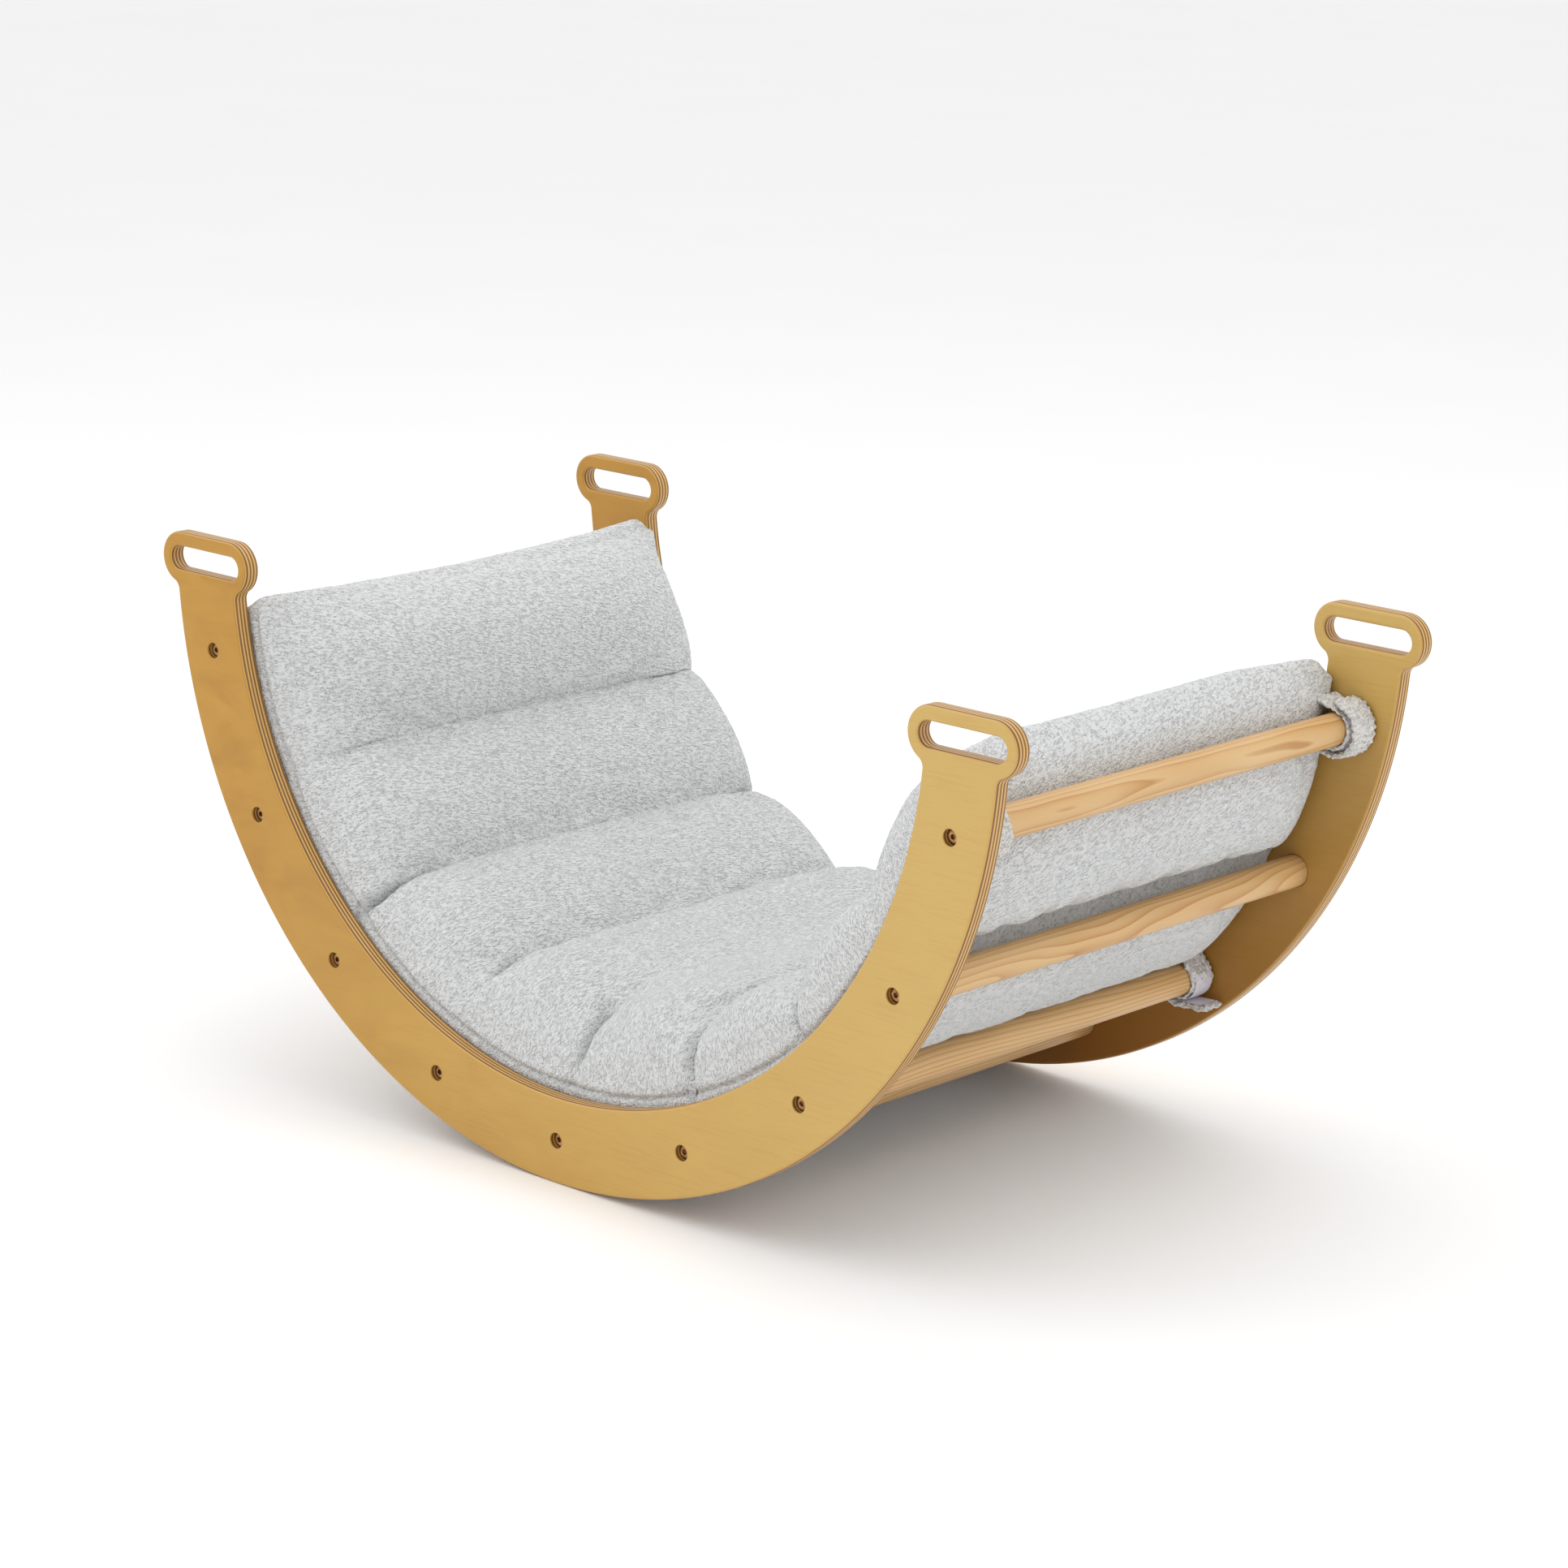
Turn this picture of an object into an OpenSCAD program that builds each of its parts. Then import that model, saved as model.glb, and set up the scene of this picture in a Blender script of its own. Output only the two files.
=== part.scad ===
// Rocking arch with a padded seat. Two plywood side panels are joined by round
// rungs, and a channel-sewn cushion is tied to the rungs inside the arch.
// Millimetres. +X runs along the arch, +Y across it, +Z up.
// The origin is on the floor, under the centre of the arch.

/* [Side panels] */
// Width over both side panels
overall_w = 600; // [480:1:720]
// Radius of the rocking edge
outer_r = 550; // [460:1:660]
// Width of the curved arm, from the rocking edge inwards
arm_w = 86.5; // [72:0.5:104]
// Thickness of the plywood
ply_t = 18; // [15:0.5:22]

/* [Handles] */
// Length of each handle head
handle_len = 128.5; // [110:0.5:150]
// Height of each handle head
handle_h = 53; // [46:0.5:60]
// Length of the hand slot
slot_len = 102.5; // [86:0.5:104]
// Height of the hand slot
slot_h = 24; // [18:0.5:28]
// Drop from the centre of the arch to the middle of the handle
handle_drop = 19; // [8:0.5:30]
// Radius of the hollow corners where a head meets its arm
corner_r = 10; // [5:0.5:14]

/* [Rungs] */
// Number of rungs
rung_count = 9; // [9:1:9]
// Diameter of a rung
rung_d = 32; // [27:0.5:38]
// Angle between neighbouring rungs, in degrees
rung_pitch = 19.45; // [17:0.05:20]
// Depth of the round socket that holds a rung's end
socket_depth = 3; // [2:0.5:4]
// Gap round a rung in its socket
socket_gap = 0.5; // [0.2:0.1:1]

/* [Fasteners] */
// Diameter of the recess over each bolt head
recess_d = 16; // [14:0.5:18]
// Depth of that recess
recess_depth = 8; // [6:0.5:9]
// Diameter of a bolt head
head_d = 13; // [11:0.5:13.5]
// Height of a bolt head
head_h = 3.8; // [3:0.1:5]
// Width across the flats of the hexagon key socket
key_w = 5; // [4:0.5:6]
// Diameter of a bolt's shank
bolt_d = 8; // [6:0.5:9]
// Length of a bolt under its head
bolt_len = 40; // [34:1:48]
// Outer diameter of a threaded insert
insert_d = 12; // [11:0.5:14]
// Length of a threaded insert
insert_len = 20; // [16:1:24]

/* [Cushion] */
// Thickness of the cushion over a seam
seam_t = 85; // [70:1:100]
// Extra thickness in the middle of a channel
puff = 14; // [8:1:20]
// Extra thickness at the bottom, where the seat side is pushed together
slump = 28; // [16:1:34]
// Number of sewn channels
channel_count = 8; // [8:1:8]
// Angle of one channel, in degrees
channel_angle = 20.6; // [18:0.1:21]
// Gap between the cushion and each side panel
side_gap = 3; // [1:0.5:6]
// Width of the lower shoulder along each side of the cushion
shoulder_w = 40; // [30:1:60]
// Drop from the top of the cushion to that shoulder
shoulder_drop = 14; // [8:1:18]
// Thickness of the cushion fabric
fabric_t = 3; // [2:0.5:4]

/* [Ties] */
// Width of a tie strap
strap_w = 34; // [28:0.5:40]
// Thickness of a tie strap
strap_t = 4; // [3:0.5:5]
// Width of the hook and loop tape on it
tape_w = 25; // [20:0.5:28]
// Thickness of the hook or loop tape
tape_t = 1.2; // [0.8:0.1:1.6]

/* [Hidden] */
$fn = 96;
inner_r = outer_r - arm_w;
rung_r = outer_r - arm_w / 2;
handle_x = rung_r;
handle_z = outer_r - handle_drop;
handle_r = handle_h / 2;
half_w = overall_w / 2;
overcut = 1;
bolt_play = 0.25;
insert_setback = 2;
bore_tail = 5;
rung_chamfer = 1;
rung_end = ply_t - socket_depth;
rung_len = overall_w - 2 * rung_end;
rest_gap = 0.5;
fill_gap = 0.2;
cushion_r = rung_r - rung_d / 2 - rest_gap;
cushion_w = overall_w - 2 * ply_t - 2 * side_gap;
cushion_end = channel_count / 2 * channel_angle;
channel_steps = 8;
slump_spread = 22;
edge_steps = 86;
turn_steps = 12;
strap_inset = 1.5;
strap_gap = 0.4;
sewn_gap = 0.5;
// Layers of a tie, from the rung outwards
under_r = rung_d / 2 + strap_gap;
loop_r = under_r + strap_t;
hook_r = loop_r + tape_t + strap_gap;
over_r = hook_r + tape_t;
// Angles about the rung, from the outward direction, positive up the arm. Each is a
// multiple of the bend step, so that the facets of the layers meet.
bend_step = 6;
under_from = -102;
tape_from = -72;
tape_to = 72;
over_to = 66;
// The one loose flap leaves the rung here and runs on straight
loose_to = -36;
loose_len = 30;
// Distance from the rung centre in to the back of the cushion, and to a flap's fold
back_depth = rung_r - cushion_r;
fold_depth = back_depth - sewn_gap - strap_t / 2;

// The ties sit on the second and the top rung of each arm, at both panels.
// Each is [rung place, end of the rung, true where the flap hangs loose].
TIES = [
    [4, -1, false],
    [4, 1, false],
    [2, -1, false],
    [2, 1, true],
    [-2, -1, false],
    [-2, 1, false],
    [-4, -1, false],
    [-4, 1, false]
];
ENDS = [-1, 1];
RUNGS = [for (i = [1 : rung_count]) i - (rung_count + 1) / 2];

// ---- Places -------------------------------------------------------------

// A point on the arch, at an angle from straight down and a distance from its centre
function on_arch(angle, r) = [r * sin(angle), outer_r - r * cos(angle)];

// The point where two circles cross, on the chosen side of the line between centres
function circles_meet(c1, r1, c2, r2, side) =
    let (
        gap = c2 - c1,
        d = norm(gap),
        along = (d * d + r1 * r1 - r2 * r2) / (2 * d),
        off = side * sqrt(r1 * r1 - along * along)
    )
    c1 + (gap * along + [-gap[1], gap[0]] * off) / d;

// Moves to a rung's end, with local +Z pointing out of the arch
module at_end(place, end) {
    spot = on_arch(place * rung_pitch, rung_r);
    translate([spot[0], end * half_w, spot[1]])
        rotate([-90 * end, 0, 0])
            children();
}

// Moves to a rung's middle, with local Z along the rung and local X out of the arch
module at_rung(place) {
    spot = on_arch(place * rung_pitch, rung_r);
    translate([spot[0], 0, spot[1]])
        rotate([90, 0, 0])
            rotate(place * rung_pitch - 90)
                children();
}

// Stands an outline drawn in X and Z up, from y = low over a width
module across(low, w) {
    translate([0, low + w, 0])
        rotate([90, 0, 0])
            linear_extrude(w)
                children();
}

// ---- Side panels --------------------------------------------------------

module stadium(len, h) {
    for (s = ENDS)
        translate([s * (len - h) / 2, 0])
            circle(d = h);
    square([len - h, h], center = true);
}

// Points along an arc, up to but not including its end
function arc_points(centre, r, from, to, steps) = [
    for (i = [0 : steps - 1])
        let (angle = from + (to - from) * i / steps)
        centre + r * [cos(angle), sin(angle)]
];

function heading(from, to) = atan2(to[1] - from[1], to[0] - from[0]);

// The right half of a panel's outline: along the rocking edge, round the head with
// its two hollow corners, and back down the inner edge
function half_panel() =
    let (
        arch_c = [0, outer_r],
        end_x = (handle_len - handle_h) / 2,
        outer_end = [handle_x + end_x, handle_z],
        inner_end = [handle_x - end_x, handle_z],
        reach = handle_r + corner_r,
        outer_c = circles_meet(arch_c, outer_r + corner_r, outer_end, reach, -1),
        inner_c = circles_meet(arch_c, inner_r - corner_r, inner_end, reach, -1),
        outer_turn = heading(outer_c, outer_end),
        inner_turn = heading(inner_c, inner_end),
        top = heading(arch_c, outer_c),
        inner_top = heading(arch_c, inner_c)
    )
    concat(
        arc_points(arch_c, outer_r, -90, top, edge_steps),
        arc_points(outer_c, corner_r, top + 180, outer_turn, turn_steps),
        arc_points(outer_end, handle_r, outer_turn - 180, 90, 2 * turn_steps),
        [outer_end + [0, handle_r]],
        arc_points(inner_end, handle_r, 90, inner_turn + 180, 2 * turn_steps),
        arc_points(inner_c, corner_r, inner_turn, inner_top, turn_steps),
        arc_points(arch_c, inner_r, inner_top, -90, edge_steps),
        [arch_c - [0, inner_r]]
    );

module panel_outline() {
    right = half_panel();
    left = [for (i = [len(right) - 2 : -1 : 1]) [-right[i][0], right[i][1]]];
    difference() {
        polygon(concat(right, left));
        for (s = ENDS)
            translate([s * handle_x, handle_z])
                stadium(slot_len, slot_h);
    }
}

module side_panel(end) {
    low = end < 0 ? -half_w : half_w - ply_t;
    color("#c79a4b")
        difference() {
            across(low, ply_t)
                panel_outline();
            for (place = RUNGS)
                at_end(place, end) {
                    translate([0, 0, -recess_depth])
                        cylinder(d = recess_d, h = recess_depth + overcut);
                    translate([0, 0, -ply_t - overcut])
                        cylinder(d = bolt_d + 2 * bolt_play, h = ply_t + 2 * overcut);
                    translate([0, 0, -ply_t - overcut])
                        cylinder(d = rung_d + 2 * socket_gap, h = socket_depth + overcut);
                }
        }
}

// ---- Rungs and fasteners ------------------------------------------------

// Local Z runs along the rung, and both ends are bored for an insert and a bolt
module rung(place) {
    insert_depth = insert_setback + insert_len;
    bolt_depth = bolt_len + recess_depth - rung_end + bore_tail;
    color("#e6c183")
        at_rung(place)
            difference() {
                rotate_extrude()
                    polygon([
                        [0, -rung_len / 2],
                        [rung_d / 2 - rung_chamfer, -rung_len / 2],
                        [rung_d / 2, -rung_len / 2 + rung_chamfer],
                        [rung_d / 2, rung_len / 2 - rung_chamfer],
                        [rung_d / 2 - rung_chamfer, rung_len / 2],
                        [0, rung_len / 2]
                    ]);
                for (s = [0, 1])
                    mirror([0, 0, s])
                        translate([0, 0, rung_len / 2]) {
                            translate([0, 0, -insert_depth])
                                cylinder(d = insert_d, h = insert_depth + overcut);
                            translate([0, 0, -bolt_depth])
                                cylinder(d = bolt_d + 2 * bolt_play, h = bolt_depth);
                        }
            }
}

module bolt() {
    key_depth = head_h * 0.7;
    translate([0, 0, -recess_depth]) {
        difference() {
            cylinder(d = head_d, h = head_h);
            translate([0, 0, head_h - key_depth])
                cylinder(d = key_w / cos(30), h = key_depth + overcut, $fn = 6);
        }
        translate([0, 0, -bolt_len])
            cylinder(d = bolt_d, h = bolt_len);
    }
}

module insert() {
    translate([0, 0, -rung_end - insert_setback - insert_len])
        difference() {
            cylinder(d = insert_d, h = insert_len);
            translate([0, 0, -overcut])
                cylinder(d = bolt_d, h = insert_len + 2 * overcut);
        }
}

module bolts(end) {
    color("#a8834a")
        for (place = RUNGS)
            at_end(place, end)
                bolt();
}

module inserts(end) {
    color("#b8b8b0")
        for (place = RUNGS)
            at_end(place, end)
                insert();
}

// ---- Cushion ------------------------------------------------------------

// Distance from the centre of the arch to the seat side of the cushion
function seat_r(angle) =
    let (
        across_channel = angle / channel_angle - floor(angle / channel_angle),
        low = exp(-pow(angle / slump_spread, 2))
    )
    cushion_r - seam_t - slump * low - puff * sin(180 * across_channel);

// A stretch of the cushion seen from the side, inset all round by a thickness
module cushion_profile(from, to, inset, drop) {
    steps = round((to - from) / channel_angle * channel_steps);
    back_r = cushion_r - inset;
    trim = asin(inset / cushion_r);
    seat_side = [
        for (i = [0 : steps])
            let (
                angle = from + (to - from) * i / steps,
                held = min(max(angle, from + trim), to - trim)
            )
            on_arch(held, seat_r(angle) + drop + inset)
    ];
    beyond = [on_arch(to - trim, outer_r), on_arch(from + trim, outer_r)];
    wide = [for (i = [steps : -1 : 0]) on_arch(from + (to - from) * i / steps, outer_r)];
    intersection() {
        polygon(to - from > 90 ? concat(seat_side, wide) : concat(seat_side, beyond));
        translate([0, outer_r])
            circle(r = back_r, $fn = 360);
    }
}

// The same stretch as a solid with a lower shoulder along each side
module cushion_solid(from, to, inset) {
    w = cushion_w - 2 * inset;
    core_w = cushion_w - 2 * shoulder_w - 2 * inset;
    across(-w / 2, w)
        cushion_profile(from, to, inset, shoulder_drop);
    across(-core_w / 2, core_w)
        cushion_profile(from, to, inset, 0);
}

function channel_from(i) = (i - 1 - channel_count / 2) * channel_angle;

module cushion_cover() {
    color("#dcdcd8")
        difference() {
            cushion_solid(-cushion_end, cushion_end, 0);
            for (i = [1 : channel_count])
                cushion_solid(channel_from(i), channel_from(i + 1), fabric_t);
        }
}

module fill_pad(i) {
    color("#f4f2ee")
        cushion_solid(channel_from(i), channel_from(i + 1), fabric_t + fill_gap);
}

// ---- Ties ---------------------------------------------------------------

// Stands a tie's outline up beside its side panel. The outline is drawn about the
// rung, with X out of the arch and Y up the arm.
module tie_band(tie, w) {
    spot = on_arch(tie[0] * rung_pitch, rung_r);
    middle = tie[1] * (half_w - ply_t - strap_inset - strap_w / 2);
    down_arm = tie[0] < 0 ? 1 : 0;
    across(middle - w / 2, w)
        translate(spot)
            rotate(tie[0] * rung_pitch - 90)
                mirror([0, down_arm])
                    children();
}

// Points bent round the rung, from one angle to another
function bend(r, from, to) =
    let (steps = round(abs(to - from) / bend_step))
    [
        for (i = [0 : steps])
            let (angle = from + (to - from) * i / steps)
            r * [cos(angle), sin(angle)]
    ];

// A point on the straight line that leaves the bend at an angle
function run_off(r, angle, dist) =
    r * [cos(angle), sin(angle)] + dist * [-sin(angle), cos(angle)];

// A band bent round the rung, with a straight run before and after the bend
module band(r, t, from, to, before, after) {
    outer = r + t;
    start = before > 0 ? [run_off(r, from, -before), run_off(outer, from, -before)] : [];
    finish = after > 0 ? [run_off(outer, to, after), run_off(r, to, after)] : [];
    polygon(concat(start, bend(outer, from, to), finish, bend(r, to, from)));
}

module under_strap(tie) {
    color("#dcdcd8")
        tie_band(tie, strap_w)
            difference() {
                band(under_r, strap_t, under_from, 90, 0, back_depth);
                translate([-rung_r, 0])
                    circle(r = cushion_r, $fn = 360);
            }
}

module loop_tape(tie) {
    color("#e9e6ee")
        tie_band(tie, tape_w)
            band(loop_r, tape_t, tape_from, tape_to, 0, 0);
}

// The flap starts at a round fold, close to the cushion it is sewn to
module over_strap(tie) {
    color("#dcdcd8")
        tie_band(tie, strap_w) {
            translate([-fold_depth, -over_r - strap_t / 2])
                circle(d = strap_t);
            if (tie[2])
                band(over_r, strap_t, -90, loose_to, fold_depth, loose_len);
            else
                band(over_r, strap_t, -90, over_to, fold_depth, 0);
        }
}

module hook_tape(tie) {
    color("#e9e6ee")
        tie_band(tie, tape_w)
            if (tie[2])
                band(hook_r, tape_t, tape_from, loose_to, 0, loose_len - strap_t);
            else
                band(hook_r, tape_t, tape_from, over_to, 0, 0);
}

// ---- Nodes --------------------------------------------------------------

side_panel(-1);  // side_panel_front
side_panel(1);  // side_panel_rear
for (i = [1 : rung_count])
    rung(RUNGS[i - 1]);
bolts(-1);  // bolts_front
bolts(1);  // bolts_rear
inserts(-1);  // inserts_front
inserts(1);  // inserts_rear
cushion_cover();
for (i = [1 : channel_count])
    fill_pad(i);
for (i = [1 : len(TIES)])
    under_strap(TIES[i - 1]);
for (tie = TIES) loop_tape(tie);  // loop_tapes
for (i = [1 : len(TIES)])
    over_strap(TIES[i - 1]);
for (i = [1 : len(TIES)])
    hook_tape(TIES[i - 1]);
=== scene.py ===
"""A rocking arch seesaw: two plywood side panels, nine pine rungs, and a padded
boucle cushion that is tied to the rungs inside the arch. Metres throughout."""

import math

import bmesh
import bpy
import numpy as np
from mathutils import Matrix, Vector, geometry, noise


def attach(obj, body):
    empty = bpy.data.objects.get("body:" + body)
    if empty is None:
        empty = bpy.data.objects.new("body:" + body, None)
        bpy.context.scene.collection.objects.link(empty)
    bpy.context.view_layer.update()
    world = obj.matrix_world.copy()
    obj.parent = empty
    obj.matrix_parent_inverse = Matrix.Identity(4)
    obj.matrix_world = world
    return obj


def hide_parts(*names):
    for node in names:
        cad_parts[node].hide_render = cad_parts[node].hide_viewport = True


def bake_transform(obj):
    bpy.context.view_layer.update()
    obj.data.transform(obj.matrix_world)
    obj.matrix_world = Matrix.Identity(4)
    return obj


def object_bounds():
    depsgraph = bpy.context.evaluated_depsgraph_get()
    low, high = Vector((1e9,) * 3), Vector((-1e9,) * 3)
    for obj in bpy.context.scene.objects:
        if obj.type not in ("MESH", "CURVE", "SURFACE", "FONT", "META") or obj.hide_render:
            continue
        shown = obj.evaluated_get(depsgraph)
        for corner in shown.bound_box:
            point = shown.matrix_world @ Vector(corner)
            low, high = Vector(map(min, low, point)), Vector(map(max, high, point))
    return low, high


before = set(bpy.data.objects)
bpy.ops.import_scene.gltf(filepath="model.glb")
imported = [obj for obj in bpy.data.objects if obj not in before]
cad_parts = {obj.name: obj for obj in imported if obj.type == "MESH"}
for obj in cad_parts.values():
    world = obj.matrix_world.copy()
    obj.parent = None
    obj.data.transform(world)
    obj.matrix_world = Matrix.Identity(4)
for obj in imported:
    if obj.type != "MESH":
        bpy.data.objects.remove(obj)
cad_low, cad_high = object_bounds()


# ---- Studio -------------------------------------------------------------
# A pale floor that sweeps to the horizon, two large soft lamps and white
# surroundings, seen from the front right and a little above.

camera_data = bpy.data.cameras.new("camera")
camera_data.lens = 111.8
camera_data.sensor_width = 36
camera_data.clip_end = 100
camera = bpy.data.objects.new("camera", camera_data)
bpy.context.scene.collection.objects.link(camera)
bpy.context.scene.camera = camera

camera_place = Vector((3.1958, -3.3776, 1.5752))
camera_right = Vector((0.7261, 0.6875, 0.0096)).normalized()
camera_ahead = Vector((-0.6628, 0.7035, -0.2563)).normalized()
camera_up = camera_right.cross(camera_ahead).normalized()
camera_turn = Matrix((camera_right, camera_up, -camera_ahead)).transposed()
camera.matrix_world = Matrix.Translation(camera_place) @ camera_turn.to_4x4()

bpy.context.scene.view_settings.view_transform = "Standard"

surroundings = bpy.data.worlds.new("surroundings")
bpy.context.scene.world = surroundings
surroundings.use_nodes = True
white_walls = surroundings.node_tree.nodes["Background"]
white_walls.inputs["Color"].default_value = (1, 1, 1, 1)
white_walls.inputs["Strength"].default_value = 0.9


def soft_lamp(name, spot, aim, width, power):
    """A square white softbox at a spot, turned to face a point."""
    lamp_data = bpy.data.lights.new(name, "AREA")
    lamp_data.shape = "RECTANGLE"
    lamp_data.size = width
    lamp_data.size_y = width
    lamp_data.energy = power
    lamp = bpy.data.objects.new(name, lamp_data)
    bpy.context.scene.collection.objects.link(lamp)
    lamp.location = spot
    lamp.rotation_euler = (Vector(aim) - Vector(spot)).to_track_quat("-Z", "Y").to_euler()


soft_lamp("left_softbox", (-2.4, -2.2, 3.0), (0, 0, 0.3), 3.0, 34)
soft_lamp("right_softbox", (3.2, 0.6, 1.6), (0, 0, 0.3), 2.4, 9)
soft_lamp("top_softbox", (0.2, 0.8, 3.4), (0, 0, 0.2), 3.4, 26)


def new_piece(name, verts, faces):
    """A mesh object in the scene, made from its verts and faces."""
    mesh = bpy.data.meshes.new(name)
    mesh.from_pydata([Vector(v) for v in verts], [], faces)
    mesh.update()
    piece = bpy.data.objects.new(name, mesh)
    bpy.context.scene.collection.objects.link(piece)
    return piece


class Signal:
    """One output of a material's nodes. Arithmetic on it adds Math nodes."""

    def __init__(self, finish, socket):
        self.finish = finish
        self.socket = socket

    def _math(self, operation, first, second):
        return self.finish.node("ShaderNodeMath", {"operation": operation}, {0: first, 1: second})

    def __add__(self, other):
        return self._math("ADD", self, other)

    def __sub__(self, other):
        return self._math("SUBTRACT", self, other)

    def __rsub__(self, other):
        return self._math("SUBTRACT", other, self)

    def __mul__(self, other):
        return self._math("MULTIPLY", self, other)

    def __truediv__(self, other):
        return self._math("DIVIDE", self, other)

    def __rtruediv__(self, other):
        return self._math("DIVIDE", other, self)

    def __pow__(self, other):
        return self._math("POWER", self, other)

    def __mod__(self, other):
        return self._math("FLOORED_MODULO", self, other)

    def __abs__(self):
        return self._math("ABSOLUTE", self, 0.0)

    __radd__ = __add__
    __rmul__ = __mul__


class Finish:
    """A procedural material with one Principled shader."""

    def __init__(self, name, **plain):
        self.material = bpy.data.materials.new(name)
        self.material.use_nodes = True
        self.tree = self.material.node_tree
        self.shader = self.tree.nodes["Principled BSDF"]
        for socket, value in plain.items():
            self.shader.inputs[socket.replace("_", " ")].default_value = value

    def node(self, kind, settings=None, sockets=None, output=0):
        """Adds a node: its settings first, then its sockets' values or links."""
        made = self.tree.nodes.new(kind)
        for setting, value in (settings or {}).items():
            if setting == "stops":
                ramp = made.color_ramp
                while len(ramp.elements) < len(value):
                    ramp.elements.new(1.0)
                for element, (place, colour) in zip(ramp.elements, value):
                    element.position = place
                    element.color = colour
            else:
                setattr(made, setting, value)
        for socket, value in (sockets or {}).items():
            if isinstance(value, Signal):
                self.tree.links.new(value.socket, made.inputs[socket])
            else:
                made.inputs[socket].default_value = value
        return Signal(self, made.outputs[output])

    def place(self):
        """The point on the piece, in its own frame."""
        return self.node("ShaderNodeTexCoord", output="Object")

    def axis(self, vector, letter):
        return self.node("ShaderNodeSeparateXYZ", {}, {0: vector}, output=letter)

    def stretched(self, vector, scale, shift=(0, 0, 0)):
        return self.node("ShaderNodeMapping", {}, {"Vector": vector, "Location": shift, "Scale": scale})

    def cloud(self, vector, scale, detail=2.0, roughness=0.5, distortion=0.0):
        sockets = {"Vector": vector, "Scale": scale, "Detail": detail}
        sockets.update({"Roughness": roughness, "Distortion": distortion})
        return self.node("ShaderNodeTexNoise", {}, sockets)

    def blended(self, first, second, share):
        """The first colour, covered by the second as far as the share says."""
        settings = {"data_type": "RGBA", "blend_type": "MIX", "clamp_factor": True}
        return self.node("ShaderNodeMix", settings, {0: share, 6: first, 7: second}, output=2)

    def ramp(self, value, stops):
        return self.node("ShaderNodeValToRGB", {"stops": stops}, {0: value})

    def gloss(self, socket, value):
        """Joins a signal to one of the shader's own sockets."""
        self.tree.links.new(value.socket, self.shader.inputs[socket])

    def raised(self, height, depth, strength):
        sockets = {"Height": height, "Distance": depth, "Strength": strength}
        return self.node("ShaderNodeBump", {}, sockets)


def tint(red, green, blue):
    """A colour as the eye sees it, 0 to 255, turned to linear light."""
    linear = []
    for part in (red, green, blue):
        c = part / 255
        linear.append(c / 12.92 if c <= 0.04045 else ((c + 0.055) / 1.055) ** 2.4)
    return (*linear, 1.0)


floor_half = 30
floor_corners = [(-floor_half, -floor_half, 0), (floor_half, -floor_half, 0)]
floor_corners += [(floor_half, floor_half, 0), (-floor_half, floor_half, 0)]
floor = new_piece("floor", floor_corners, [(0, 1, 2, 3)])
floor_paint = Finish("floor_paint", Roughness=0.9)
floor_shade = floor_paint.cloud(floor_paint.place(), 3.0, 3.0)
floor_colour = floor_paint.blended(tint(252, 252, 252), tint(255, 255, 255), floor_shade)
floor_paint.gloss("Base Color", floor_colour)
floor.data.materials.append(floor_paint.material)


# ---- Side panels --------------------------------------------------------
# Each panel is one piece of birch plywood: a half ring with a handle head on
# each end. It is routed to shape, its edges are rounded over, and it is varnished.

half_width = cad_high.y
rocking_r = 0.550
arm_w = 0.0865
inner_r = rocking_r - arm_w
rung_line_r = rocking_r - arm_w / 2
ply_t = 0.018
head_len = 0.1285
head_h = 0.053
head_drop = 0.019
hollow_r = 0.010
slot_len = 0.1025
slot_h = 0.024
round_over = 0.003
recess_r = 0.008
recess_depth = 0.008
recess_lip = 0.0004
bore_r = 0.00425
socket_r = 0.0165
socket_depth = 0.003
socket_lip = 0.0003
rung_step = math.radians(19.45)
rung_places = range(-4, 5)
arch_centre = np.array([0.0, rocking_r])


def on_arch(angle, r):
    """X and Z of a point at an angle from straight down and a distance from the arch's centre."""
    return np.array([r * math.sin(angle), rocking_r - r * math.cos(angle)])


def arc(centre, r, start, stop, steps):
    """Points round a centre from one angle toward another, without the last one."""
    angles = start + (stop - start) * np.arange(steps) / steps
    return [centre + r * np.array([math.cos(a), math.sin(a)]) for a in angles]


def heading(start, stop):
    """The angle of the way from one point to another."""
    return math.atan2(stop[1] - start[1], stop[0] - start[0])


def crossing(first_c, first_r, second_c, second_r):
    """Where two circles cross, on the right of the way from the first centre."""
    gap = second_c - first_c
    dist = np.linalg.norm(gap)
    along = (dist**2 + first_r**2 - second_r**2) / (2 * dist)
    off = -math.sqrt(first_r**2 - along**2)
    return first_c + (gap * along + np.array([-gap[1], gap[0]]) * off) / dist


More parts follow.
